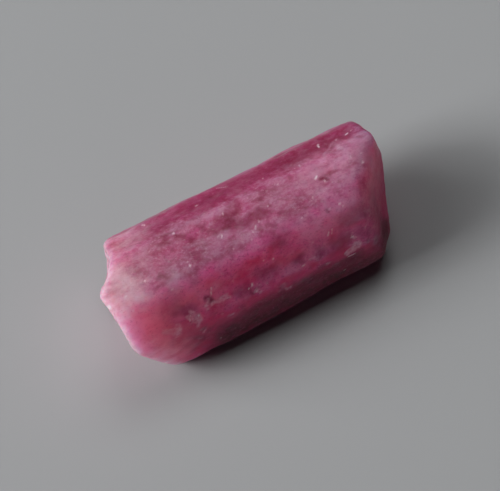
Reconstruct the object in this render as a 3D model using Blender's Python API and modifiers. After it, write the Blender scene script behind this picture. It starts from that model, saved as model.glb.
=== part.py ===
"""Rubellite crystal: a stubby, water-worn prism of pink tourmaline, lying on one of its nine faces.

It grew as one piece, so it is one solid. X runs along the crystal, from its broken end at -X to
its natural termination at +X, -Y is its front, and it rests on the plane z = 0. Sizes are metres.

Run it with: blender --background --python part.py
"""

import math

import bmesh
import bpy
from mathutils import Matrix, Vector, noise

MM = 0.001
NAME = "rubellite_crystal"
ALONG = Vector((1, 0, 0))
HEIGHT = 9.5 * MM
AXIS = Vector((0, 0, HEIGHT / 2))
BLOCK = 50 * MM
CUT_TOLERANCE = 0.0001 * MM

# The long faces of the prism. "turn" is how far the face's normal turns from straight up towards
# the front, "distance" is how far the face lies from the axis at mid-length, and "lean" is the
# slight taper that makes the crystal slimmer towards its termination. Angles are degrees.
PRISM_FACES = {
    "top": {"turn": 0, "distance": HEIGHT / 2, "lean": 0.3},
    "upper_front": {"turn": 60, "distance": 5.29 * MM, "lean": 0.2},
    "front": {"turn": 85, "distance": 5.62 * MM, "lean": -1.0},
    "lower_front": {"turn": 120, "distance": 6.45 * MM, "lean": 1.2},
    "rest": {"turn": 180, "distance": HEIGHT / 2, "lean": 0.0},
    "lower_back": {"turn": -150, "distance": 4.39 * MM, "lean": 0.3},
    "back": {"turn": -120, "distance": 4.56 * MM, "lean": 0.3},
    "upper_back": {"turn": -60, "distance": 4.55 * MM, "lean": 0.6},
    "back_strip": {"turn": -30, "distance": 4.48 * MM, "lean": 0.6},
}

# The faces across the ends. "turn" is the side that the face slopes towards, "slope" is how far
# its normal lies from the crystal's length, and "reach" is where it crosses the axis.
TERMINATION_FACES = {
    "front_slope": {"turn": 63, "slope": 41.6, "reach": 12.7 * MM},
    "back_slope": {"turn": -45, "slope": 13, "reach": 12.4 * MM},
    "under_slope": {"turn": 180, "slope": 18, "reach": 11.3 * MM},
}
BROKEN_FACES = {
    "break": {"turn": 187, "slope": 16, "reach": 12.7 * MM},
    "back_corner": {"turn": -94, "slope": 29, "reach": 13.1 * MM},
    "front_corner": {"turn": 152, "slope": 38, "reach": 14.5 * MM},
}

# How widely each edge is worn round. An edge that isn't named takes ROUND_WEAR, or BREAK_WEAR
# where it borders the broken end.
ROUND_WEAR = 0.9 * MM
BREAK_WEAR = 1.4 * MM
EDGE_WEAR = {
    ("back_strip", "top"): 0.35 * MM,
    ("top", "upper_front"): 1.5 * MM,
    ("front", "upper_front"): 0.7 * MM,
    ("front", "lower_front"): 1.0 * MM,
    ("back_strip", "upper_back"): 0.5 * MM,
}
WIDEST_WEAR = 1.5 * MM

# Where pieces have broken away. A "flat" chip leaves a small cleaved face, and a "shell" leaves a
# hollow like the inside of a sea shell. "at" is the middle of the chip on the crystal's surface,
# "turn" and "slope" give the way that it faces (a slope of -90 faces -X), "spin" turns it about
# that direction, and "size" is its length along the crystal, its width and its depth.
CHIPS = {
    # The row of chips along the front ridge.
    "ridge_chip_1": ("flat", (-9.9, -5.20, 6.30), 68, 0, 8, (1.6, 1.3, 0.12)),
    "ridge_chip_2": ("flat", (-7.7, -5.28, 6.18), 71, 3, -6, (1.1, 1.0, 0.12)),
    "ridge_chip_3": ("flat", (-5.5, -5.26, 6.15), 68, -2, 12, (1.9, 1.4, 0.12)),
    "ridge_chip_4": ("shell", (-2.4, -5.35, 6.10), 68, 0, 0, (1.4, 0.9, 0.20)),
    "ridge_chip_5": ("flat", (-0.1, -5.60, 5.35), 76, 0, 20, (0.9, 0.7, 0.10)),
    "ridge_chip_6": ("shell", (2.5, -5.50, 5.70), 70, 0, 0, (1.1, 0.8, 0.16)),
    "ridge_chip_7": ("flat", (6.1, -5.78, 5.15), 73, 2, 10, (1.7, 1.3, 0.13)),
    # Ledges and hollows in the top face.
    "middle_hollow": ("shell", (-1.2, -0.20, 9.50), 4, -3, 62, (3.6, 1.5, 0.16)),
    "lower_ledge": ("flat", (-3.1, -2.60, 9.42), 10, 5, 28, (2.4, 1.5, 0.09)),
    "right_ledge": ("shell", (6.4, -0.90, 9.46), 0, 0, 22, (2.2, 0.9, 0.18)),
    "left_pit": ("shell", (-10.0, -2.20, 9.52), 0, 0, 30, (1.0, 0.6, 0.15)),
    "upper_pit": ("shell", (-7.3, 0.30, 9.54), 0, 0, 20, (1.2, 0.6, 0.14)),
    # Nicks in the strip behind the top face.
    "strip_nick_right": ("shell", (8.1, 1.30, 9.05), -20, 0, -45, (1.5, 0.7, 0.20)),
    "strip_nick_middle": ("shell", (-1.6, 2.60, 8.45), -30, 0, 10, (2.0, 0.9, 0.16)),
    "strip_nick_left": ("shell", (-6.6, 1.20, 9.30), -18, 0, 0, (1.6, 0.8, 0.16)),
    # Nicks along the ridges of the sides that face away.
    "back_nick_left": ("shell", (-6.4, 4.90, 5.60), -78, 0, 20, (1.9, 1.1, 0.20)),
    "back_nick_middle": ("shell", (-0.8, 5.20, 4.90), -90, 0, -15, (2.6, 1.3, 0.24)),
    "back_nick_right": ("shell", (4.6, 3.60, 7.70), -45, 0, 10, (2.2, 1.0, 0.20)),
    "back_shell": ("shell", (2.2, 4.45, 6.20), -62, 3, 25, (4.0, 2.2, 0.22)),
    "back_shell_step": ("shell", (4.0, 4.55, 5.90), -66, -3, -20, (2.4, 1.8, 0.22)),
    "under_back_nick": ("shell", (6.0, 3.50, 1.80), -135, 0, 8, (2.8, 1.3, 0.24)),
    "under_front_nick": ("shell", (1.5, -5.30, 0.80), 112, 0, -5, (3.0, 1.2, 0.24)),
    "foot_chip": ("shell", (9.2, -5.20, 1.60), 100, 48, 0, (2.6, 2.4, 0.24)),
    "tip_chip": ("shell", (12.0, 0.60, 7.30), 0, 70, 0, (1.6, 2.0, 0.22)),
    # The shell-like hollows of the broken end.
    "end_shell_high": ("shell", (-13.0, -1.60, 6.20), 187, -74, 10, (4.2, 4.6, 0.34)),
    "end_shell_low": ("shell", (-12.0, -1.00, 2.60), 175, -74, -30, (3.6, 5.0, 0.36)),
    "end_notch": ("shell", (-11.99, 1.86, 6.70), -90, -60, -30, (3.6, 9.6, 0.80)),
}
CHIP_THICKNESS = 3 * MM
# A shell hollow is part of an ellipsoid. This is the ellipsoid's radius over the hollow's depth.
SHELL_BULGE = 4.0
# A chip that faces along the crystal has no "across" of its own, and takes the world's Y.
LEAST_ACROSS = 0.1

# The skin. The solid is rebuilt on an even grid, has the sharp rims of its chips rubbed round,
# is worn by low relief and is thinned to few faces.
GRID = 0.2 * MM
ROUNDING_PASSES = 3
FACES_KEPT = 0.15
# Each kind of relief has its height, and its size along and across the crystal.
RELIEF = {
    "swell": (0.15 * MM, 7.0 * MM, 3.4 * MM),
    "flutes": (0.05 * MM, 9.0 * MM, 0.9 * MM),
    "dimples": (0.05 * MM, 1.1 * MM, 0.9 * MM),
}
# Where the first kind of relief reads the noise, and how far along the next one reads it.
NOISE_START = Vector((0, 5.1, 9.7))
NOISE_STEP = 17.3
# The resting face is ground flat: it has no relief this near the plane, and it is cut just above.
REST_CALM = 0.7 * MM
REST_CUT = 0.03 * MM


def clear_scene():
    for obj in list(bpy.data.objects):
        bpy.data.objects.remove(obj, do_unlink=True)


def collection_named(name):
    collection = bpy.data.collections.new(name)
    bpy.context.scene.collection.children.link(collection)
    return collection


def object_from(bm, name, collection):
    mesh = bpy.data.meshes.new(name)
    bm.to_mesh(mesh)
    bm.free()
    obj = bpy.data.objects.new(name, mesh)
    collection.objects.link(obj)
    return obj


def sideways(turn):
    """The direction across the crystal that lies `turn` degrees from straight up, towards -Y."""
    return Vector((0, -math.sin(math.radians(turn)), math.cos(math.radians(turn))))


def tilted(turn, slope):
    """The direction that `sideways` gives, tilted `slope` degrees towards +X."""
    slope = math.radians(slope)
    return sideways(turn) * math.cos(slope) + ALONG * math.sin(slope)


def cut_face(bm, label, point, normal):
    """Cuts the solid flat at a plane, closes the cut with one face and labels that face."""
    everything = bm.verts[:] + bm.edges[:] + bm.faces[:]
    cut = bmesh.ops.bisect_plane(
        bm,
        geom=everything,
        dist=CUT_TOLERANCE,
        plane_co=point,
        plane_no=normal,
        clear_outer=True,
    )
    rim = [item for item in cut["geom_cut"] if isinstance(item, bmesh.types.BMEdge)]
    facet = bm.faces.layers.int["facet"]
    for face in bmesh.ops.edgeloop_fill(bm, edges=rim)["faces"]:
        face[facet] = label
    bmesh.ops.recalc_face_normals(bm, faces=bm.faces[:])


def wear_of(pair):
    if pair in EDGE_WEAR:
        return EDGE_WEAR[pair]
    return BREAK_WEAR if set(pair) & set(BROKEN_FACES) else ROUND_WEAR


def faceted_prism(collection):
    """The prism cut out of a block by its flat faces, with its edges worn round."""
    bm = bmesh.new()
    bmesh.ops.create_cube(bm, size=BLOCK)
    bm.faces.layers.int.new("facet")
    names = []
    for name, face in PRISM_FACES.items():
        names.append(name)
        point = AXIS + sideways(face["turn"]) * face["distance"]
        cut_face(bm, len(names), point, tilted(face["turn"], face["lean"]))
    for end, faces in ((1, TERMINATION_FACES), (-1, BROKEN_FACES)):
        for name, face in faces.items():
            names.append(name)
            point = AXIS + ALONG * end * face["reach"]
            cut_face(bm, len(names), point, tilted(face["turn"], end * (90 - face["slope"])))

    facet = bm.faces.layers.int["facet"]
    weight = bm.edges.layers.float.new("bevel_weight_edge")
    for edge in bm.edges:
        pair = tuple(sorted(names[face[facet] - 1] for face in edge.link_faces))
        edge[weight] = wear_of(pair) / WIDEST_WEAR

    crystal = object_from(bm, NAME, collection)
    wear = crystal.modifiers.new("edge_wear", "BEVEL")
    wear.limit_method = "WEIGHT"
    wear.width = WIDEST_WEAR
    wear.segments = 4
    return crystal


def chip_cutter(name, shape, at, turn, slope, spin, size, collection):
    """The body whose underside leaves one chip: a block for a flat one, an ellipsoid for a shell."""
    outward = tilted(turn, slope)
    across = outward.cross(ALONG)
    if across.length < LEAST_ACROSS:
        across = Vector((0, 1, 0))
    across.normalize()
    axes = Matrix((across.cross(outward), across, outward)).transposed()
    axes = (axes @ Matrix.Rotation(math.radians(spin), 3, "Z")).to_4x4()
    length, width, depth = (value * MM for value in size)
    bm = bmesh.new()
    if shape == "flat":
        lift = CHIP_THICKNESS / 2 - depth
        sizes = (length, width, CHIP_THICKNESS)
        bmesh.ops.create_cube(bm, size=1)
    else:
        height = SHELL_BULGE * depth
        lift = height - depth
        spread = math.sqrt(1 - (1 - depth / height) ** 2)
        sizes = (length / 2 / spread, width / 2 / spread, height)
        bmesh.ops.create_icosphere(bm, subdivisions=4, radius=1)
    bmesh.ops.scale(bm, vec=sizes, verts=bm.verts[:])
    place = Matrix.Translation(Vector(at) * MM + outward * lift) @ axes
    bmesh.ops.transform(bm, matrix=place, verts=bm.verts[:])
    bmesh.ops.recalc_face_normals(bm, faces=bm.faces[:])
    cutter = object_from(bm, name, collection)
    cutter.hide_render = True
    cutter.display_type = "WIRE"


def baked(crystal):
    """A bmesh of the crystal as its modifiers leave it. The modifiers are taken off."""
    bpy.context.view_layer.update()
    graph = bpy.context.evaluated_depsgraph_get()
    mesh = bpy.data.meshes.new_from_object(crystal.evaluated_get(graph))
    crystal.modifiers.clear()
    bm = bmesh.new()
    bm.from_mesh(mesh)
    bpy.data.meshes.remove(mesh)
    return bm


def relief_at(point):
    """How far the skin stands out or in at a point, from swells, lengthwise flutes and dimples."""
    height = 0
    for kind, (amount, along, across) in enumerate(RELIEF.values()):
        place = Vector((point.x / along, point.y / across, point.z / across))
        height += amount * noise.noise(place + NOISE_START + ALONG * NOISE_STEP * kind)
    calm = min(max(point.z / REST_CALM - 1, 0), 1)
    return height * calm


def wear_skin(crystal):
    """Works the low relief into the skin, each point moving along its own normal."""
    bm = baked(crystal)
    bm.normal_update()
    moves = [(vert, vert.normal * relief_at(vert.co)) for vert in bm.verts]
    for vert, move in moves:
        vert.co += move
    bm.to_mesh(crystal.data)
    bm.free()


def flatten_rest_and_centre(crystal):
    """Cuts the resting face dead flat and puts the middle of its box over the origin."""
    bm = baked(crystal)
    if "facet" not in bm.faces.layers.int:
        bm.faces.layers.int.new("facet")
    cut_face(bm, 0, Vector((0, 0, REST_CUT)), Vector((0, 0, -1)))
    low = [min(vert.co[axis] for vert in bm.verts) for axis in range(3)]
    high = [max(vert.co[axis] for vert in bm.verts) for axis in range(3)]
    middle = Vector(((low[0] + high[0]) / 2, (low[1] + high[1]) / 2, low[2]))
    bmesh.ops.translate(bm, vec=-middle, verts=bm.verts[:])
    bm.to_mesh(crystal.data)
    bm.free()


def rubellite_material():
    """Translucent raspberry stone with a satin skin."""
    material = bpy.data.materials.new("rubellite")
    material.use_nodes = True
    shader = material.node_tree.nodes["Principled BSDF"]
    shader.inputs["Base Color"].default_value = (0.30, 0.07, 0.14, 1)
    shader.inputs["Roughness"].default_value = 0.38
    shader.inputs["Metallic"].default_value = 0
    shader.inputs["IOR"].default_value = 1.63
    material.diffuse_color = (0.30, 0.07, 0.14, 1)
    return material


def main():
    clear_scene()
    parts = collection_named(NAME)
    cutters = collection_named("cutters")
    crystal = faceted_prism(parts)
    for name, chip in CHIPS.items():
        chip_cutter(name, *chip, cutters)

    chips = crystal.modifiers.new("chips", "BOOLEAN")
    chips.operation = "DIFFERENCE"
    chips.solver = "EXACT"
    chips.operand_type = "COLLECTION"
    chips.collection = cutters
    grid = crystal.modifiers.new("even_grid", "REMESH")
    grid.mode = "VOXEL"
    grid.voxel_size = GRID
    rounding = crystal.modifiers.new("rounding", "SMOOTH")
    rounding.factor = 0.5
    rounding.iterations = ROUNDING_PASSES
    wear_skin(crystal)

    thin = crystal.modifiers.new("few_faces", "DECIMATE")
    thin.ratio = FACES_KEPT
    flatten_rest_and_centre(crystal)
    crystal.data.materials.append(rubellite_material())


main()
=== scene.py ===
# %% [markdown]
# # A rubellite crystal, finished for a close look
#
# Rubellite is pink tourmaline. This one is a stubby prism about 26 mm long that water has worn
# smooth, with one natural end and one broken end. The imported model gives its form, and this
# script gives it a skin and a body: fine relief, cloudy colour, bruised ridges, bright specks
# and scratches. Each cell prints what it made or measured. Blender works in metres here, so
# lengths that read better in millimetres are multiplied by MM.

# %% Loading the frame
import math

import bmesh
import bpy
import numpy as np
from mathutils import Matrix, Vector, noise


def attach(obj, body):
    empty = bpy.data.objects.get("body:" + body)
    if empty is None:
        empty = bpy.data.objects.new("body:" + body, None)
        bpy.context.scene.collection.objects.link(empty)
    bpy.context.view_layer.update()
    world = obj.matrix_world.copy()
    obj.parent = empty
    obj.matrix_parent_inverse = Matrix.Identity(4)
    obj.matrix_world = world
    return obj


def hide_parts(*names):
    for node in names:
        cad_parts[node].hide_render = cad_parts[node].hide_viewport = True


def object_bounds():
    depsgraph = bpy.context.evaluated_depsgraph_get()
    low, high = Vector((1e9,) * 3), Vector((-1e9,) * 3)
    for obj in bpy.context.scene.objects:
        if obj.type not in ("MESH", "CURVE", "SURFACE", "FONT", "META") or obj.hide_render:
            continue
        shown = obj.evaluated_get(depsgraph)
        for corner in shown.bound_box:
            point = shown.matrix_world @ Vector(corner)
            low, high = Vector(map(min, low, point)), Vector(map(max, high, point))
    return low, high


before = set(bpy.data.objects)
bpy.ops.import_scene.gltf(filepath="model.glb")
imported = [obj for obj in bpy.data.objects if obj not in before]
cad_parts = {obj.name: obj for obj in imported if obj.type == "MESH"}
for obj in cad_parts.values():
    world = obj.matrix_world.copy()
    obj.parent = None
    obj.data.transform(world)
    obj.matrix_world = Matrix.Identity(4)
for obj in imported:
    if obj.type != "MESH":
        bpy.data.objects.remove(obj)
solid_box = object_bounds()
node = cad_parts["rubellite_crystal"]
MM = 0.001
print("solid size in mm:", [round(side / MM, 2) for side in solid_box[1] - solid_box[0]])

# %% [markdown]
# ## The camera
#
# A small thing on a table is usually looked at from close above, so the camera is high up and
# a little to one side. A long lens from a quarter of a metre away keeps the prism's long edges
# nearly parallel. It could be aimed with a Track To constraint, but a direction worked out from
# two angles is easier to read and leaves nothing live in the scene.

# %% The camera
CAMERA_AZIMUTH = math.radians(-30.5)
CAMERA_ELEVATION = math.radians(60)
CAMERA_DISTANCE = 0.25
LOOK_AT = Vector((0.97, 0.35, 3.0)) * MM
LONG_LENS, SENSOR_WIDTH = 230.4, 36
NEAREST_SEEN = 0.01

camera = bpy.data.objects.new("camera", bpy.data.cameras.new("camera"))
bpy.context.collection.objects.link(camera)
camera.data.sensor_width = SENSOR_WIDTH
camera.data.lens = LONG_LENS
camera.data.clip_start = NEAREST_SEEN
level = math.cos(CAMERA_ELEVATION)
backwards = Vector(
    (
        math.sin(CAMERA_AZIMUTH) * level,
        -math.cos(CAMERA_AZIMUTH) * level,
        math.sin(CAMERA_ELEVATION),
    )
)
camera.location = LOOK_AT + backwards * CAMERA_DISTANCE
camera.rotation_euler = backwards.to_track_quat("Z", "Y").to_euler()
bpy.context.scene.camera = camera
print("camera at", [round(value, 3) for value in camera.location])

# %% [markdown]
# ## A fine skin over the solid
#
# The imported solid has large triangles, enough for its weight and its outline but too coarse for
# wear that is a tenth of a millimetre across. A Subdivision Surface would keep the uneven
# triangles. A voxel Remesh lays an even net over the form instead, and a few passes of Smooth
# take the corners of the old triangles away: each pass moves a point halfway to the middle of its
# neighbours. The solid's mesh is loose triangles, so the copy's doubles are merged first, or the
# Remesh would see a heap of scraps.

# %% A fine skin over the solid
NET = 0.113 * MM
MERGE_WITHIN = 0.001 * MM
SMOOTH_PASSES = 30
HALFWAY = 0.5


def fine_skin(source, name):
    """A copy of a solid, with an even net of small faces."""
    form = bmesh.new()
    form.from_mesh(source.data)
    bmesh.ops.remove_doubles(form, verts=form.verts[:], dist=MERGE_WITHIN)
    mesh = bpy.data.meshes.new(name)
    form.to_mesh(mesh)
    form.free()
    coarse = bpy.data.objects.new(name, mesh)
    bpy.context.collection.objects.link(coarse)
    net = coarse.modifiers.new("net", "REMESH")
    net.mode = "VOXEL"
    net.voxel_size = NET
    soften = coarse.modifiers.new("soften", "SMOOTH")
    soften.factor = HALFWAY
    soften.iterations = SMOOTH_PASSES
    bpy.context.view_layer.update()
    evaluated = coarse.evaluated_get(bpy.context.evaluated_depsgraph_get())
    coarse.data = bpy.data.meshes.new_from_object(evaluated)
    coarse.modifiers.clear()
    coarse.data.polygons.foreach_set("use_smooth", [True] * len(coarse.data.polygons))
    return coarse


crystal = fine_skin(node, "rubellite")
print("skin:", len(crystal.data.polygons), "faces")

# %% [markdown]
# ## Reading the skin
#
# Wear and colour depend on where a point lies and which way the skin faces there: the top is
# dusty, the broken face looks back along X. Both can be read in nodes, but numpy reads the whole
# mesh at once, and the same numbers can then shape the skin and colour it.

# %% Reading the skin
def measured(piece):
    """The places of a piece's points in mm, and the way its skin faces at each."""
    places, facing = (np.empty(len(piece.data.vertices) * 3) for _ in range(2))
    piece.data.vertices.foreach_get("co", places)
    piece.data.vertex_normals.foreach_get("vector", facing)
    return places.reshape(-1, 3) / MM, facing.reshape(-1, 3)


points, normals = measured(crystal)
print("points:", len(points))

# %% [markdown]
# ## Placing marks on the crystal
#
# A real crystal is known by its marks: a veil here, a dark pocket there, a white tick on a ridge.
# They could be painted by hand in Texture Paint, but that makes an image. Here every mark is a
# short stroke from one place to another. A place is a distance along X in millimetres and an angle
# round the crystal in degrees: 0 is straight up, 90 is the front and negative angles are behind.
# Unrolling the skin like a label turns that angle into a length, so a stroke keeps its width.

# %% Placing marks on the crystal
AXIS_HEIGHT = 4.8
LABEL_RADIUS = 5.0


def unrolled(x, degrees):
    return np.stack([x, np.radians(degrees) * LABEL_RADIUS], axis=-1)


def label_of(places):
    around = np.degrees(np.arctan2(-places[:, 1], places[:, 2] - AXIS_HEIGHT))
    return unrolled(places[:, 0], around)


def eased(values, start, end):
    """0 up to start, 1 from end on, and an S-curve between them."""
    share = np.clip((values - start) / (end - start), 0, 1)
    return share * share * (3 - 2 * share)


label = label_of(points)
print("label", label.min(axis=0).round(1), "to", label.max(axis=0).round(1), "mm")

# %% Drawing strokes
# Keeps a stroke with no length, a dot, from dividing by nothing.
SHORTEST = 1e-9


def strokes(marks, on, core=0.2, spread=1.9):
    """How strongly strokes cover each point, from 0 to 1.

    A stroke is (x, angle, x, angle, width, strength). It is full up to core widths from its line
    and has faded out at spread widths.
    """
    strength = np.zeros(len(on))
    for x_start, turn_start, x_end, turn_end, width, peak in marks:
        start, end = unrolled(x_start, turn_start), unrolled(x_end, turn_end)
        run = end - start
        share = np.clip((on - start) @ run / max(run @ run, SHORTEST), 0, 1)
        away = np.linalg.norm(on - start - share[:, None] * run, axis=1)
        strength = np.maximum(strength, peak * eased(-away, -width * spread, -width * core))
    return strength


def covered(values, counts_from=0.5):
    """How much of the skin a mark covers, in percent."""
    return round(float((values > counts_from).mean()) * 100, 1)


trial = strokes([(-5, 0, 5, 0, 1.0, 1.0)], label)
print("a 10 mm stroke along the top covers", covered(trial), "% of the skin")

# %% [markdown]
# ## Edges rubbed round
#
# Rolling rounds some edges far more than others. The long edge in front of the top face, the edge
# of the natural end and the rim of the broken end have gone soft, and the rest stays crisper. A
# Bevel needs one clean edge loop, which a net doesn't have. Smoothing only the points near an
# edge, many times over, rolls it round instead, and fades out by itself where the chosen points
# end. More passes give a rounder edge.

# %% Edges rubbed round
# Each worn edge: how many passes it gets, and the strokes that choose its points.
WORN_EDGES = {
    "long edge": (260, [(-12.0, 34, 9.5, 38, 1.25, 1.0)]),
    "natural end": (
        150,
        [
            (11.4, -12, 10.9, 0, 0.6, 1.0),
            (10.9, 0, 10.4, 19, 0.7, 1.0),
            (10.4, 19, 9.9, 45, 0.8, 1.0),
            (9.9, 45, 9.2, 88, 0.8, 1.0),
        ],
    ),
    "broken rim": (
        90,
        [
            (-12.9, 22, -12.6, 45, 0.7, 1.0),
            (-12.6, 45, -12.2, 70, 0.8, 1.0),
            (-12.2, 70, -10.4, 103, 0.8, 1.0),
            (-10.4, 103, -8.6, 126, 0.8, 1.0),
        ],
    ),
}
CHOSEN_FROM = 0.25


def rub_round(piece, chosen, passes):
    """Smooths the chosen points only, pass after pass."""
    form = bmesh.new()
    form.from_mesh(piece.data)
    form.verts.ensure_lookup_table()
    rubbed = [form.verts[index] for index in np.flatnonzero(chosen)]
    every_way = {"use_axis_x": True, "use_axis_y": True, "use_axis_z": True}
    for _ in range(passes):
        bmesh.ops.smooth_vert(form, verts=rubbed, factor=HALFWAY, **every_way)
    form.to_mesh(piece.data)
    form.free()


before = points
for edge, (passes, marks) in WORN_EDGES.items():
    chosen = strokes(marks, label) > CHOSEN_FROM
    rub_round(crystal, chosen, passes)
    print(edge, "rubbed at", int(chosen.sum()), "points")
points, normals = measured(crystal)
moved = np.linalg.norm(points - before, axis=1)
print("rubbed down by up to", round(moved.max(), 2), "mm")

# %% [markdown]
# ## Noise along the crystal
#
# Tourmaline grows along one axis, so nearly everything in it is drawn out that way: grooves,
# cloudy veils and zones of colour. Dividing a place by a length along X and a shorter one across
# stretches ordinary noise in the same way. Each layer reads its own part of the noise, so no two
# layers rise and fall together. The same noise frays the label, so that strokes get ragged edges.

# %% Noise along the crystal
LAYER_STEP = 31.7
RAGGED = 0.30


def noise_over(places, along, across, layer):
    """Noise with features of these sizes in mm. The layer's number picks its part of the noise."""
    stretched = places / np.array((along, across, across)) + layer * LAYER_STEP
    return np.array([noise.noise(place) for place in stretched])


label = label_of(points)
fraying = [noise_over(points, 0.7, 0.7, 21), noise_over(points, 0.5, 0.5, 22)]
frayed = label + RAGGED * np.stack(fraying, axis=-1)
print("labels frayed by up to", round(np.abs(frayed - label).max(), 2), "mm")

# %% [markdown]
# ## Veils
#
# Veils are sheets of tiny healed cracks and bubbles inside the crystal. On top they show as milky
# wisps, some drawn across its length. Noise alone would scatter them anywhere, so each wisp is a
# stroke, and noise in the material breaks it up later.

# %% Veils
VEILS = [
    (-5.3, -20, -2.9, -14, 0.45, 0.6),
    (-8.1, -9, -8.5, 11, 0.4, 0.5),
    (-7.0, 19, -7.6, 35, 0.4, 0.7),
    (-4.4, 23, -3.6, 22, 0.22, 0.6),
    (-6.1, 27, -5.9, 36, 0.45, 0.4),
    (-2.4, -12, -0.6, -10, 0.3, 0.8),
    (0.7, -14, 1.9, -9, 0.4, 0.6),
    (0.6, 0, 1.0, 13, 0.35, 0.15),
    (-2.4, 13, -3.4, 23, 0.28, 0.9),
    (-3.4, 24, -3.7, 36, 0.4, 0.5),
    (-2.2, 19, -1.4, 22, 0.55, 0.6),
    (-1.1, 21, -0.3, 21, 0.4, 0.4),
    (4.0, -10, 3.1, 8, 0.8, 0.6),
    (2.2, 25, 2.3, 33, 0.45, 0.6),
    (-4.5, 23, -4.1, 27, 0.2, 0.7),
    (6.7, -9, 7.1, -2, 0.4, 1.0),
    (8.0, -13, 9.0, -25, 0.13, 0.8),
    (9.0, -27, 9.9, -33, 0.13, 0.7),
    (9.7, -9, 12.0, -8, 0.5, 0.5),
    (11.4, -6, 10.9, 10, 0.45, 0.8),
    (5.2, -11, 5.5, 1, 0.5, 0.3),
    (5.9, 27, 6.1, 32, 0.3, 0.7),
    (7.5, 25, 8.4, 25, 0.6, 0.35),
    (4.5, -10, 3.2, 4, 0.7, 0.3),
]
print(len(VEILS), "veils")

# %% [markdown]
# ## Wine pockets and bands
#
# Where the body is clear, the eye looks deep into it and sees dark wine. The small strokes are
# pockets and short cracks with nothing milky in front of them. The broad ones are bands that run
# with the growth: along the strip behind the top face, and round the lower front.

# %% Wine pockets and bands
WINE_POCKETS = [
    (-6.5, -42, -6.3, -25, 0.3, 0.8),
    (-7.1, -29, -6.8, -23, 0.2, 0.6),
    (-6.9, -7, -6.1, -8, 0.2, 0.7),
    (-5.3, -8, -5.0, -5, 0.22, 0.9),
    (-8.2, 21, -7.8, 25, 0.2, 0.9),
    (-3.5, -7, -3.4, -5, 0.2, 0.7),
    (-4.4, 25, -4.2, 27, 0.12, 0.8),
    (-5.9, 26, -5.9, 28, 0.08, 0.7),
    (-2.6, -45, -0.8, -40, 0.7, 0.5),
    (-1.4, -30, -0.4, -25, 0.4, 0.9),
    (-2.4, -22, -1.5, -21, 0.25, 0.6),
    (0.9, -34, 2.0, -27, 0.5, 0.5),
    (0.2, -9, -0.9, 0, 0.3, 0.7),
    (-1.0, 2, -2.0, 7, 0.32, 1.0),
    (-1.2, -4, -1.1, -2, 0.12, 0.7),
    (-3.4, -8, -3.3, -4, 0.22, 0.8),
    (-4.5, 2, -4.4, 4, 0.25, 0.6),
    (1.7, -6, 1.8, -2, 0.15, 0.8),
    (1.1, 5, 1.7, 11, 0.18, 0.8),
    (0.2, 22, 0.6, 23, 0.2, 0.6),
    (1.1, 24, 1.6, 26, 0.13, 0.6),
    (2.1, 7, 2.2, 10, 0.1, 0.7),
    (1.0, 35, 1.5, 40, 0.6, 0.6),
    (-4.5, 25, -4.3, 27, 0.12, 0.8),
    (6.1, -34, 7.2, -26, 0.45, 0.9),
    (8.3, -45, 8.2, -33, 0.25, 0.8),
    (10.3, -32, 11.3, -17, 0.3, 0.6),
    (6.8, 6, 7.1, 10, 0.18, 1.0),
    (7.3, 5, 8.1, 5, 0.18, 0.6),
    (6.0, 33, 6.1, 36, 0.1, 0.8),
    (5.6, 26, 5.8, 26, 0.1, 0.6),
    (7.1, 51, 8.4, 52, 0.7, 0.5),
    (2.1, 6, 2.2, 9, 0.13, 0.7),
    (-8.1, 43, -9.4, 52, 0.8, 0.35),
    (-5.3, 59, -5.3, 62, 0.2, 0.9),
    (-8.1, 55, -7.1, 61, 0.5, 0.6),
    (-9.2, 87, -7.3, 107, 0.5, 0.5),
    (-5.5, 57, -5.4, 59, 0.18, 0.9),
    (-2.0, 72, -1.6, 76, 0.12, 0.7),
    (-2.9, 68, -2.3, 69, 0.4, 0.5),
    (-0.8, 61, 0.2, 64, 0.5, 0.5),
    (5.6, 70, 6.6, 69, 0.6, 0.6),
    (2.3, 67, 2.6, 67, 0.35, 0.7),
    (4.2, 69, 4.6, 70, 0.4, 0.5),
    (7.8, 68, 8.4, 74, 0.4, 0.4),
]
WINE_BANDS = [
    (-5.6, -52, 11.4, -52, 1.1, 0.75),
    (-6.6, -38, 10.5, -36, 1.2, 0.6),
    (-3.4, -38, 10.5, -36, 1.1, 0.88),
    (-0.6, -36, 1.4, -34, 0.7, 0.8),
    (2.5, -33, 5.0, -29, 0.5, 0.6),
    (-2.6, 6, 0.0, -12, 0.45, 0.7),
    (-0.4, 10, 1.3, 10, 0.5, 1.0),
    (-9.4, 62, -7.4, 94, 1.0, 0.35),
    (11.2, 60, 11.4, 100, 1.4, 0.6),
]
print(len(WINE_POCKETS), "wine pockets and", len(WINE_BANDS), "bands")

# %% [markdown]
# ## Bruises
#
# Knocks along the front ridge have crushed small patches of the skin. Crushed crystal is full of
# air, so it turns a dull frosty pink and rough to the touch. A bruise changes shape, colour and
# gloss together, so its strokes are used three times over.

# %% Bruises
BRUISES = [
    (-7.1, 67, -6.6, 76, 0.42, 0.9),
    (-5.4, 64, -4.6, 66, 0.36, 0.8),
    (-9.2, 71, -8.3, 76, 0.42, 0.9),
    (-6.6, 84, -6.3, 91, 0.2, 0.4),
    (-4.8, 66, -4.0, 67, 0.36, 0.7),
    (-4.5, 84, -4.0, 90, 0.35, 0.4),
    (-1.5, 75, -1.2, 78, 0.16, 1.0),
    (-1.1, 74, -0.6, 74, 0.3, 0.4),
    (0.7, 87, 1.2, 90, 0.28, 0.5),
    (6.6, 83, 7.3, 81, 0.4, 1.0),
    (7.0, 69, 7.4, 71, 0.1, 0.7),
    (3.4, 71, 3.6, 72, 0.18, 0.6),
    (4.4, 82, 4.7, 85, 0.18, 0.4),
    (7.7, 76, 7.8, 79, 0.2, 0.4),
]
print(len(BRUISES), "bruises")

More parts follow.
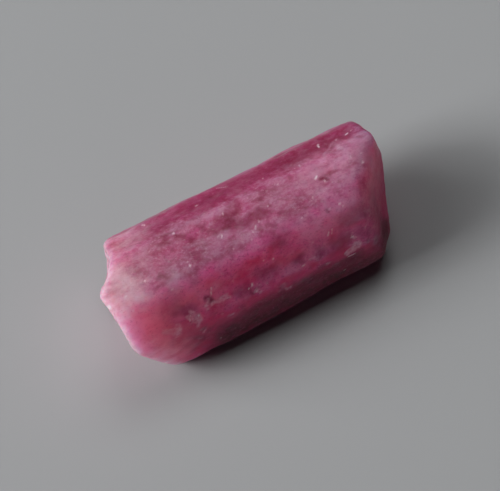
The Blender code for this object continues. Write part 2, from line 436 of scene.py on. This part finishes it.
# %% [markdown]
# ## Painted glints and scratches
#
# The white points are painted glints, sparkles of light off tiny open cracks laid into the colour
# as white. Grit has left short scratches. They could be scattered as separate slivers, but they lie
# in the skin, so a stroke with no length, or a very thin one, does for each. The skin dips a little
# under them, too.

# %% Painted glints and scratches
GLINTS = [
    (-6.7, -47, -6.6, -45, 0.09, 0.8),
    (-5.4, -12, -5.4, -12, 0.13, 1.0),
    (-9.3, 18, -9.3, 18, 0.1, 1.0),
    (-5.7, 20, -5.7, 20, 0.07, 0.5),
    (-10.3, 13, -10.3, 13, 0.08, 0.5),
    (-2.5, -34, -2.5, -34, 0.1, 0.5),
    (-2.4, -34, -2.4, -34, 0.1, 0.7),
    (3.1, -26, 3.1, -26, 0.08, 0.6),
    (2.0, 7, 2.0, 7, 0.08, 0.7),
    (-5.7, 24, -5.7, 24, 0.12, 1.0),
    (-2.6, 12, -2.6, 12, 0.08, 0.8),
    (-2.4, 14, -2.3, 12, 0.06, 0.8),
    (-2.1, 28, -2.1, 28, 0.08, 0.6),
    (-0.1, 23, -0.1, 23, 0.08, 0.7),
    (0.3, 19, 0.2, 21, 0.06, 0.6),
    (0.8, 13, 0.75, 17, 0.045, 0.6),
    (-0.5, 28, -0.5, 28, 0.06, 0.6),
    (0.5, 53, 0.5, 53, 0.1, 0.9),
    (-0.3, 50, -0.3, 50, 0.08, 0.8),
    (-1.3, -7, -1.3, -7, 0.09, 0.8),
    (-0.2, -46, 0.5, -41, 0.05, 0.45),
    (8.5, -38, 8.4, -33, 0.08, 0.9),
    (10.8, -33, 11.0, -34, 0.09, 0.9),
    (11.4, -35, 11.4, -35, 0.08, 0.7),
    (9.9, -32, 9.9, -32, 0.1, 0.6),
    (10.7, 1, 10.7, 1, 0.09, 0.7),
    (9.8, 0, 9.8, 0, 0.08, 0.8),
    (10.4, 10, 10.4, 10, 0.13, 1.0),
    (10.4, 17, 10.4, 17, 0.08, 0.5),
    (6.4, 4, 6.6, 2, 0.1, 1.0),
    (6.9, 9, 7.0, 11, 0.06, 0.8),
    (5.4, 19, 5.4, 19, 0.07, 0.6),
    (7.0, 35, 7.0, 35, 0.12, 1.0),
    (7.2, 38, 7.2, 38, 0.08, 0.6),
    (6.1, 35, 6.1, 35, 0.08, 0.8),
    (3.8, 31, 3.8, 31, 0.08, 0.6),
    (3.4, -10, 3.7, -9, 0.05, 0.5),
    (6.1, -21, 6.0, -16, 0.05, 0.4),
    (5.6, -18, 5.6, -18, 0.06, 0.4),
    (-10.3, 14, -10.3, 14, 0.08, 0.5),
    (-11.4, 19, -11.4, 19, 0.08, 0.5),
    (-11.1, 22, -11.3, 23, 0.08, 0.6),
    (-10.6, 19, -10.6, 19, 0.08, 0.4),
    (-11.2, 36, -11.2, 36, 0.1, 0.5),
    (-12.6, 23, -12.6, 25, 0.12, 0.8),
    (-4.9, 50, -5.1, 58, 0.06, 0.7),
    (-7.8, 35, -7.8, 35, 0.1, 0.7),
    (-6.5, 71, -6.5, 71, 0.1, 1.0),
    (-7.2, 66, -7.3, 71, 0.05, 0.9),
    (-5.3, 65, -5.3, 65, 0.07, 0.8),
    (-9.7, 113, -9.7, 113, 0.16, 1.0),
    (-11.1, 92, -11.1, 92, 0.07, 0.7),
    (-12.7, 48, -12.7, 48, 0.09, 0.6),
    (-7.0, 118, -7.0, 118, 0.08, 0.5),
    (-0.1, 53, -0.1, 53, 0.06, 0.5),
    (-1.8, 68, -1.7, 66, 0.08, 0.9),
    (-2.1, 69, -2.1, 69, 0.08, 0.9),
    (-1.5, 76, -1.5, 76, 0.1, 0.9),
    (2.7, 73, 2.7, 73, 0.06, 0.7),
    (0.0, 69, 0.0, 69, 0.06, 0.5),
    (-5.0, 112, -5.0, 112, 0.08, 0.5),
    (6.2, 35, 6.2, 35, 0.07, 0.8),
    (5.2, 57, 5.4, 54, 0.07, 0.8),
    (5.7, 53, 5.6, 57, 0.05, 0.6),
    (2.5, 74, 2.8, 73, 0.05, 0.7),
    (6.1, 105, 6.1, 105, 0.08, 0.8),
    (3.9, 56, 3.9, 56, 0.06, 0.5),
    (7.0, 70, 7.2, 70, 0.07, 0.8),
    (6.5, 90, 7.1, 90, 0.05, 0.7),
    (4.6, 84, 4.6, 84, 0.07, 0.4),
]
print(len(GLINTS), "specks and scratches")

# %% [markdown]
# ## Regions of the skin
#
# Much of the look follows from which way the skin faces. The top has been rubbed most. The face in
# front of it is painted brighter, a painted glow for light that passes through the stone, and the
# steep faces below are painted the clearer, deeper red of their shade. The natural end faces along
# X, and the broken one back along it. A Geometry node's Normal could tell them apart in the
# material, but that would follow every small dent too. So each region is full where the skin faces
# its direction and fades as the skin turns away, and patchy noise keeps most of the borders from
# being straight lines.

# %% Regions of the skin
# Each region: its direction, how squarely the skin has to face that way for the region to start
# and to be full, and how far patchy noise breaks up its border.
REGIONS = {
    "broken_face": ((-0.90, 0.43, 0.0), 0.25, 0.75, 0.0),
    "natural_end": ((1.0, 0.0, 0.0), 0.25, 0.75, 0.5),
    "top": ((0.0, -0.45, 0.89), 0.58, 0.96, 1.7),
    "strip": ((0.0, 0.5, 0.87), 0.80, 0.95, 0.0),
    # A painted glow: the face in front of the top is laid brighter, for light passing through the
    # stone.
    "painted_glow_face": ((0.0, -0.80, 0.60), 0.72, 1.0, 1.0),
    "front": ((0.0, -1.0, 0.0), 0.77, 1.02, 1.3),
}
COARSE_PATCHES, FINE_PATCHES = 0.16, 0.10
patchy = COARSE_PATCHES * noise_over(points, 1.7, 1.1, 40)
patchy += FINE_PATCHES * noise_over(points, 0.7, 0.6, 41)
region = {}
for name, (direction, start, full, breakup) in REGIONS.items():
    region[name] = eased(normals @ np.array(direction) + breakup * patchy, start, full)
    print(name, "over", covered(region[name]), "% of the skin")

# %% [markdown]
# ## The pale broken end
#
# Where a crystal breaks, light enters through countless small cracks and the colour washes out to
# a milky pink. The wash fades along the body over two or three millimetres, further on top than
# along the front. Along the front lies a painted glow as well, a warmer pink for light that passes
# through the broken end. Both are broad, so a few wide strokes give them. The broken face itself
# takes the wash all over, palest where it is chipped most.

# %% The pale broken end
PALE_WASH = [
    (-12.4, 55, -10.4, 105, 1.3, 0.5),
    (-12.2, -75, -12.4, 25, 1.5, 0.9),
    (-10.8, -70, -11.0, -20, 1.2, 0.6),
    (-9.8, -50, -8.6, -40, 1.6, 0.5),
    (-11.2, 0, -10.9, 20, 1.5, 0.85),
    (-9.1, 10, -10.6, 14, 2.4, 0.25),
    (-12.8, 30, -12.3, 70, 0.5, 0.55),
    (-12.3, 70, -10.4, 103, 0.6, 0.65),
    (-10.4, 103, -8.8, 120, 0.5, 0.7),
]
# Painted glow: a warmer pink along the front by the broken end, for light passing through it.
PAINTED_END_GLOW = [
    (-11.8, 45, -9.4, 108, 1.7, 1.0),
    (-9.6, 70, -9.0, 90, 1.6, 0.35),
]
BROKEN_PALENESS, CHIPPED_PALENESS = 0.50, 0.35
broken_face = region["broken_face"]
chipped = eased(noise_over(points, 0.5, 0.5, 24), -0.15, 0.25)
broken_pale = broken_face * (BROKEN_PALENESS + CHIPPED_PALENESS * chipped)
pale = np.maximum(strokes(PALE_WASH, frayed), broken_pale)
glow = strokes(PAINTED_END_GLOW, frayed)
print("pale over", covered(pale), "% of the skin")

# %% [markdown]
# ## Frost and painted sheen on top, painted shade red in front
#
# Fine frosting, with a painted sheen laid into its colour for the light the upward faces reflect,
# veils the colour of the top face, and it thickens in two steps from the broken end to the natural
# end. A little of it lies on the strip behind. The steep front faces and the natural end face away
# from the light, so they are painted a clearer, deeper red, the saturated red of their shade. The
# top could have its own material, but then the change would be a hard line. Amounts stored on the
# points fade instead.

# %% Frost and painted sheen on top, painted shade red in front
FAINTEST_SHEEN_AND_FROST, FIRST_STEP, SECOND_STEP = 0.5, 0.5, 0.25
STRIP_SHEEN_AND_FROST = 0.3
END_SHADED_RED = 0.8
along_x, high_up = points[:, 0], points[:, 2]
thickness = FAINTEST_SHEEN_AND_FROST + FIRST_STEP * eased(along_x, -8.0, -2.0)
thickness += SECOND_STEP * eased(along_x, 4.0, 9.0)
# Frost with a painted sheen: lighter colour where the top and the strip face up into the light.
sheen_and_frost = np.maximum(region["top"] * thickness, STRIP_SHEEN_AND_FROST * region["strip"])
# Painted shade red: faces turned from the light are laid a clearer, deeper red.
clear = np.maximum(region["front"], END_SHADED_RED * region["natural_end"])
print("frosting up to", round(float(sheen_and_frost.max()), 2))

# %% [markdown]
# ## Haze, painted sheen and painted shade
#
# Haze is partly dust and faint cracking and partly a painted sheen: a lighter, bluish pink laid on
# the upper half of the natural end, on the top near it and along the worn edge, where the lights
# leave them dim. Shade is painted as well: low down at the front, where shade falls, the colour is
# laid nearly black. Neither has a clear border, so both are a few very wide strokes.

# %% Haze, painted sheen and painted shade
# Painted sheen over some dust: lighter bluish pink where the lights leave the faces dim.
SHEEN_AND_DUST_PLACES = [
    (7.0, -14, 10.6, -14, 1.3, 0.7),
    (6.5, 4, 10.5, 4, 1.4, 0.7),
    (4.0, 44, 8.5, 47, 1.0, 0.8),
    (-11.0, 26, -8.0, 34, 1.0, 0.4),
    (-10.0, 48, -5.0, 50, 1.0, 0.55),
    (1.8, 66, 7.6, 62, 0.9, 0.3),
]
# Painted shade: the low front, where shade falls, is laid nearly black.
SHADED_PLACES = [
    (-4.2, 117, 9.9, 113, 1.6, 1.0),
    (-2.6, 101, 7.4, 99, 0.9, 0.8),
]
# Painted sheen: the upper half of the natural end is laid lighter.
END_PAINTED_SHEEN = 0.9
end_painted_sheen = END_PAINTED_SHEEN * region["natural_end"] * eased(high_up, 4.5, 9.0)
sheen_and_dust = np.maximum(strokes(SHEEN_AND_DUST_PLACES, frayed), end_painted_sheen)
shade = strokes(SHADED_PLACES, frayed)
print("haze over", covered(sheen_and_dust), "% of the skin")

# %% [markdown]
# ## Worn relief
#
# Rolling in gravel leaves soft swells, fine grooves rubbed nearly away, a sugary grain, and
# a rougher skin where the crystal was bruised or broken. Each is a height over the skin. A
# Displace modifier could do the same one layer at a time. Adding the layers up for every point
# keeps them in one readable list.

# %% Worn relief
# Every layer: height in mm, and its size along and across the crystal in mm. Its place in the
# list picks its part of the noise.
RELIEF_LAYERS = {
    "swells": (0.050, 2.6, 1.3),
    "dents": (0.022, 0.9, 0.6),
    "grooves": (0.010, 6.0, 0.28),
    "grain": (0.010, 0.35, 0.28),
}
TORN_HEIGHT, TORN_DEPTH = 0.030, 0.020
TORN_BORDER = 0.6
BROKEN_HEIGHT = 0.08
SPECK_DEPTH = 0.015
height = np.zeros(len(points))
for layer, (amount, along, across) in enumerate(RELIEF_LAYERS.values()):
    height += amount * noise_over(points, along, across, layer)
torn = noise_over(points, 0.35, 0.30, 30)
bruises = eased(strokes(BRUISES, frayed) + TORN_BORDER * torn, 0.25, 1.0)
glints = strokes(GLINTS, label, core=0.1, spread=1.25)
rough = np.maximum(bruises, broken_face)
height += rough * (TORN_HEIGHT * noise_over(points, 0.30, 0.22, 8) - TORN_DEPTH)
height += broken_face * BROKEN_HEIGHT * noise_over(points, 0.9, 0.8, 9)
height -= SPECK_DEPTH * glints
print("relief from", round(height.min(), 3), "to", round(height.max(), 3), "mm")

# %% [markdown]
# ## Laying the relief on the skin
#
# The relief moves each point along the way the skin faces. The face that the crystal rests on is
# ground flat, so the relief dies away in the last half millimetre above it, or the crystal would
# stand on bumps. Nothing may leave the solid's box either, so points are held inside it.

# %% Laying the relief on the skin
FLAT_UP_TO, FULL_FROM = 0.1, 0.6
low, high = (np.array(corner) / MM for corner in solid_box)
calm = np.clip((high_up - FLAT_UP_TO) / (FULL_FROM - FLAT_UP_TO), 0, 1)
skin = points + normals * (height * calm)[:, None]
skin = np.clip(skin, low, high)
crystal.data.vertices.foreach_set("co", (skin * MM).ravel())
crystal.data.update()
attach(crystal, "root")
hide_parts("rubellite_crystal")
print("skin from", skin.min(axis=0).round(2), "to", skin.max(axis=0).round(2), "mm")

# %% [markdown]
# ## Handing the marks to the material
#
# A material can't see these lists, but it can read a number stored on each point of the mesh, an
# attribute. One attribute for each kind of mark lets the material give it its own colour and
# roughness, and they stay on the skin whichever way the crystal is turned. Marks belong to the
# long sides, so they fade out towards the middle of each end, where the label is pinched.

# %% Handing the marks to the material
# Two distances from the axis in mm: marks have gone at the first and are full from the second.
NO_MARKS_WITHIN, MARKS_FROM = 3.2, 3.9
off_axis = np.hypot(points[:, 1], high_up - AXIS_HEIGHT)
on_sides = eased(off_axis, NO_MARKS_WITHIN, MARKS_FROM)
looking_up = eased(normals[:, 2], 0.3, 0.7)
MARKS = {
    "pale": pale,
    "glow": glow,
    "sheen_and_frost": sheen_and_frost,
    # Painted glow on the face in front of the top.
    "painted_inner_light": region["painted_glow_face"],
    "clear": clear,
    "sheen_and_dust": sheen_and_dust,
    "milky": np.maximum(broken_face, pale * looking_up),
    "shade": shade * on_sides,
    "veil": strokes(VEILS, frayed) * on_sides,
    "wine": strokes(WINE_POCKETS + WINE_BANDS, frayed) * on_sides,
    "bruise": bruises * on_sides,
    "glint": glints * on_sides,
}
for name, values in MARKS.items():
    stored = crystal.data.attributes.new(name, "FLOAT", "POINT")
    stored.data.foreach_set("value", values.astype(np.float32))
    print(name, "covers", covered(values, counts_from=0.3), "% of the skin")

# %% [markdown]
# ## Rubellite
#
# The body is cloudy. Light goes in, scatters among fine cracks and comes out reddened some
# millimetres away, so the shader scatters beneath the surface, red furthest. Glass would be too
# clear, and plain paint would lose the glow. Over that lies a satin gloss. Its strength follows
# from how far tourmaline bends light, its IOR, and is turned down because the skin is worn.

# %% Rubellite
RED_FURTHEST = (1.0, 0.30, 0.46)
TOURMALINE_IOR, WORN_SHINE = 1.63, 0.20
rubellite = bpy.data.materials.new("rubellite_stone")
rubellite.use_nodes = True
nodes, links = rubellite.node_tree.nodes, rubellite.node_tree.links
shader = nodes["Principled BSDF"]
shader.inputs["IOR"].default_value = TOURMALINE_IOR
shader.inputs["Specular IOR Level"].default_value = WORN_SHINE
shader.inputs["Subsurface Radius"].default_value = RED_FURTHEST
print("scatter in red, green and blue:", RED_FURTHEST)

# %% [markdown]
# ## Small helpers for nodes
#
# Nodes can be laid out by hand in the Shader Editor. In a script, a few short functions named for
# what they do make a long tree readable: a mark read from the mesh, a range mapped to another, one
# value times another, and one colour laid over another.

# %% Small helpers for nodes
def wired(kind, sockets, **settings):
    """Adds a node. Each socket takes a plain value, or a link from another node's output."""
    made = nodes.new("ShaderNode" + kind)
    for name, value in settings.items():
        setattr(made, name, value)
    for name, value in sockets.items():
        if isinstance(value, bpy.types.NodeSocket):
            links.new(value, made.inputs[name])
        else:
            made.inputs[name].default_value = value
    return made


def mark(name):
    return wired("Attribute", {}, attribute_name=name).outputs["Fac"]


def ranged(value, low_in, high_in, low_out, high_out):
    """Maps a value from one range to another, and holds it at both ends."""
    sockets = {"Value": value, "From Min": low_in, "From Max": high_in}
    sockets.update({"To Min": low_out, "To Max": high_out})
    return wired("MapRange", sockets).outputs[0]


def times(value, other):
    return wired("Math", {0: value, 1: other}, operation="MULTIPLY").outputs[0]


def over(base, colour, amount):
    """Lays a colour over another, by an amount from 0 to 1."""
    return wired("Mix", {0: amount, 6: base, 7: colour}, data_type="RGBA").outputs[2]


print("marks to read:", ", ".join(MARKS))

# %% [markdown]
# ## Clouds inside the stone
#
# Three noises of different sizes, all stretched along X, carry the cloudiness: veining for the
# large clouds, mottle for half-millimetre cracks and specks for dust. Object coordinates keep them
# fixed in the stone, and a Mapping node sets their sizes in millimetres.

# %% Clouds inside the stone
places = wired("TexCoord", {}).outputs["Object"]


def cloud(along, across, detail, roughness=0.55, seed=0.0):
    """Noise with features of these sizes in mm along and across the crystal."""
    stretch = (1 / (along * MM), 1 / (across * MM), 1 / (across * MM))
    moved = wired("Mapping", {"Vector": places, "Scale": stretch, "Location": (seed, seed, seed)})
    sockets = {"Vector": moved.outputs[0], "Scale": 1.0, "Detail": detail, "Roughness": roughness}
    return wired("TexNoise", sockets).outputs["Fac"]


mottle = cloud(0.55, 0.40, detail=8.0, roughness=0.65, seed=3.0)
specks = cloud(0.24, 0.18, detail=4.0, roughness=0.7, seed=5.0)
veining = cloud(1.5, 0.9, detail=8.0, roughness=0.62, seed=7.0)
print("cloud nodes:", len(nodes))

# %% [markdown]
# ## Growth zones
#
# The crystal grew in zones, so its body drifts from rose to a deep wine along its length. A ramp
# on a large, long noise gives them. A ramp blends its colours evenly, which suits zones that have
# no borders.

# %% Growth zones
WINE = (0.27, 0.013, 0.064, 1)
RASPBERRY = (0.50, 0.045, 0.180, 1)
ROSE = (0.64, 0.120, 0.320, 1)

zones = wired("ValToRGB", {"Fac": cloud(3.4, 2.0, detail=6.0)})
zones.color_ramp.elements[0].position = 0.30
zones.color_ramp.elements[0].color = WINE
zones.color_ramp.elements[1].position = 0.72
zones.color_ramp.elements[1].color = ROSE
zones.color_ramp.elements.new(0.50).color = RASPBERRY
print("zones:", [round(stop.position, 2) for stop in zones.color_ramp.elements])

# %% [markdown]
# ## Colour, layer by layer
#
# Over the zones, each layer lays one colour over what is below, as a painter glazes: first the
# milk and wine that are everywhere, then the regions with fine specks between them, then the
# marks, and last the bruises and the white glints. One of the clouds breaks up each layer, apart
# from the three whose strength is the same at both ends. Mix nodes could be wired one by one, but
# a table with a loop shows the order at a glance.

# %% The colours of the glazes
# The colour of painted shade, nearly black.
PAINTED_SHADE_COLOUR = (0.07, 0.001, 0.010, 1)
# The red painted on faces turned from the light.
SHADED_FACE_RED = (0.72, 0.024, 0.150, 1)
# The rose of the painted glow in front of the top.
PAINTED_GLOW_ROSE = (0.98, 0.150, 0.450, 1)
# The warm pink of the painted glow by the broken end.
SALMON = (0.98, 0.360, 0.560, 1)
MILK = (0.62, 0.300, 0.440, 1)
# The colour of the painted sheen over dust.
SHEEN_PINK = (0.88, 0.420, 0.620, 1)
FROST = (0.86, 0.480, 0.640, 1)
PALE_PINK = (0.84, 0.600, 0.680, 1)
# The white of the painted glints and the scratches.
WHITE = (0.97, 0.820, 0.880, 1)
print("darkest glaze:", PAINTED_SHADE_COLOUR[:3], "lightest:", WHITE[:3])

# %% Colour, layer by layer
# Each layer: colour, mark (None for everywhere), cloud, the two values of the cloud between which
# it changes, and its strength at each of them.
GLAZES = [
    (MILK, None, mottle, 0.49, 0.64, 0.0, 0.55),
    (WINE, None, mottle, 0.48, 0.34, 0.0, 0.70),
    (MILK, None, veining, 0.50, 0.66, 0.0, 0.50),
    # Painted glow on the face in front of the top.
    (PAINTED_GLOW_ROSE, "painted_inner_light", mottle, 0.0, 1.0, 0.75, 0.75),
    # Frost with a painted sheen, over the top and the strip.
    (MILK, "sheen_and_frost", veining, 0.35, 0.65, 0.15, 0.50),
    (WINE, None, specks, 0.46, 0.32, 0.0, 0.60),
    (PALE_PINK, None, specks, 0.56, 0.72, 0.0, 0.40),
    # Painted shade red on the front faces and the natural end.
    (SHADED_FACE_RED, "clear", mottle, 0.0, 1.0, 0.75, 0.75),
    # Painted sheen, with some dust and faint cracking.
    (SHEEN_PINK, "sheen_and_dust", veining, 0.30, 0.62, 0.25, 0.75),
    (WINE, "wine", mottle, 0.2, 0.6, 1.0, 0.7),
    # Painted shade, low at the front.
    (PAINTED_SHADE_COLOUR, "shade", mottle, 0.3, 0.7, 1.0, 0.75),
    (MILK, "veil", mottle, 0.35, 0.62, 0.25, 0.85),
    # Painted glow along the front by the broken end.
    (SALMON, "glow", veining, 0.35, 0.60, 0.40, 0.95),
    (PALE_PINK, "pale", veining, 0.35, 0.62, 0.45, 1.0),
    (ROSE, None, specks, 0.45, 0.30, 0.0, 0.45),
    (FROST, "bruise", specks, 0.35, 0.6, 0.35, 0.9),
    # Painted glints: white points for sparkles of light, with the real scratches among them.
    (WHITE, "glint", mottle, 0.0, 1.0, 1.0, 1.0),
]
colour = zones.outputs["Color"]
for glaze, place, texture, low_in, high_in, low_out, high_out in GLAZES:
    amount = ranged(texture, low_in, high_in, low_out, high_out)
    if place:
        amount = times(mark(place), amount)
    colour = over(colour, glaze, amount)
links.new(colour, shader.inputs["Base Color"])
print(len(GLAZES), "glazes,", len(nodes), "nodes")

# %% [markdown]
# ## Gloss, scatter and grain
#
# Worn tourmaline is satin, a little duller where it is mottled and dull where it is bruised.
# Bruises, and the cracks under the painted glints, let less light into the stone, so their
# scatter weight is lower. Light also goes less far where the stone is milky: with the full
# distance, the red would leak out of the thin rim and leave it purple. The grain is too fine for
# the mesh, so a Bump node tilts the surface with it.

# %% Gloss, scatter and grain
SMOOTH_GLOSS, MOTTLED_GLOSS, BRUISED_GLOSS = 0.36, 0.50, 0.62
CRACKED_WEIGHT = 0.75
SCATTER, MILKY_SCATTER = 8 * MM, 2 * MM
GRAIN_DEPTH, GRAIN_STRENGTH = 0.03 * MM, 0.35
gloss = ranged(mottle, 0.3, 0.7, SMOOTH_GLOSS, MOTTLED_GLOSS)
gloss = wired("Mix", {0: mark("bruise"), 2: gloss, 3: BRUISED_GLOSS}).outputs[0]
links.new(gloss, shader.inputs["Roughness"])
cracks = wired("Math", {0: mark("bruise"), 1: mark("glint")}, operation="MAXIMUM").outputs[0]
links.new(ranged(cracks, 0, 1, 1.0, CRACKED_WEIGHT), shader.inputs["Subsurface Weight"])
distance = ranged(mark("milky"), 0, 1, SCATTER, MILKY_SCATTER)
links.new(distance, shader.inputs["Subsurface Scale"])
fine_grain = cloud(0.22, 0.14, detail=6.0, roughness=0.7, seed=11.0)
bump = {"Height": fine_grain, "Strength": GRAIN_STRENGTH, "Distance": GRAIN_DEPTH}
grain = wired("Bump", bump)
links.new(grain.outputs[0], shader.inputs["Normal"])
crystal.data.materials.clear()
crystal.data.materials.append(rubellite)
print("rubellite nodes:", len(nodes))

# %% [markdown]
# ## The floor
#
# The crystal lies on a plain pale board. A single flat grid is enough.

# %% The floor
BOARD_GREY = (0.50, 0.51, 0.52, 1)
BOARD_ROUGHNESS = 0.7
HALF_WIDTH = 2
floor_form = bmesh.new()
bmesh.ops.create_grid(floor_form, x_segments=1, y_segments=1, size=HALF_WIDTH)
floor_mesh = bpy.data.meshes.new("floor")
floor_form.to_mesh(floor_mesh)
floor_form.free()
floor = bpy.data.objects.new("floor", floor_mesh)
bpy.context.collection.objects.link(floor)
paint = bpy.data.materials.new("pale_floor")
paint.use_nodes = True
board = paint.node_tree.nodes["Principled BSDF"]
board.inputs["Base Color"].default_value = BOARD_GREY
board.inputs["Roughness"].default_value = BOARD_ROUGHNESS
floor_mesh.materials.append(paint)
print("floor:", [round(side, 1) for side in floor.dimensions], "m")

# %% [markdown]
# ## Studio light
#
# One large soft window to the left, low enough to throw the crystal's shadow to the right and to
# shine into its broken end, does most of the work. Two smaller ones beside it widen it towards
# the back and upwards, so that the shadow's edge is soft. Two weak panels above keep the strip and
# the top from going flat, and a small card low at the front just lifts the lower faces, which
# would be black without it.

# %% Studio light
LIGHTS = {
    # Direction from the crystal, distance and size in metres, and power in watts.
    "window": ((-0.87, 0.17, 0.47), 1.6, 0.64, 14.3),
    "side_window": ((-0.76, 0.44, 0.47), 0.75, 0.3, 1.3),
    "high_window": ((-0.61, 0.35, 0.71), 0.75, 0.35, 0.75),
    "sky": ((0.26, 0.36, 0.90), 0.4, 0.203, 0.193),
    "overhead": ((0.00, 0.36, 0.93), 0.4, 0.213, 0.1),
    "card": ((-0.42, -0.90, 0.09), 0.6, 0.08, 0.14),
}
for name, (direction, distance, size, power) in LIGHTS.items():
    light = bpy.data.lights.new(name, "AREA")
    light.size = size
    light.energy = power
    lamp = bpy.data.objects.new(name, light)
    lamp.location = Vector(direction).normalized() * distance
    lamp.rotation_euler = Vector(direction).to_track_quat("Z", "Y").to_euler()
    lamp.visible_camera = False
    bpy.context.collection.objects.link(lamp)
    print(name, "at", [round(value, 2) for value in lamp.location])

# %% [markdown]
# ## The room
#
# A studio is never quite black, so the world gives a trace of cool light from everywhere. The
# Standard view shows the colours as they are worked out, where the softer default would grey the
# pinks.

# %% The room
ROOM_COLOUR, ROOM_LIGHT = (0.8, 0.85, 0.9, 1), 0.005
world = bpy.data.worlds.new("studio")
world.use_nodes = True
room = world.node_tree.nodes["Background"]
room.inputs["Color"].default_value = ROOM_COLOUR
room.inputs["Strength"].default_value = ROOM_LIGHT
bpy.context.scene.world = world
bpy.context.scene.view_settings.view_transform = "Standard"
print("room light:", ROOM_LIGHT)

# %% [markdown]
# ## Finishing
#
# The crystal, the floor, the light and the room are all in place, and the last cell says so.

# %% Finishing
print("scene done")
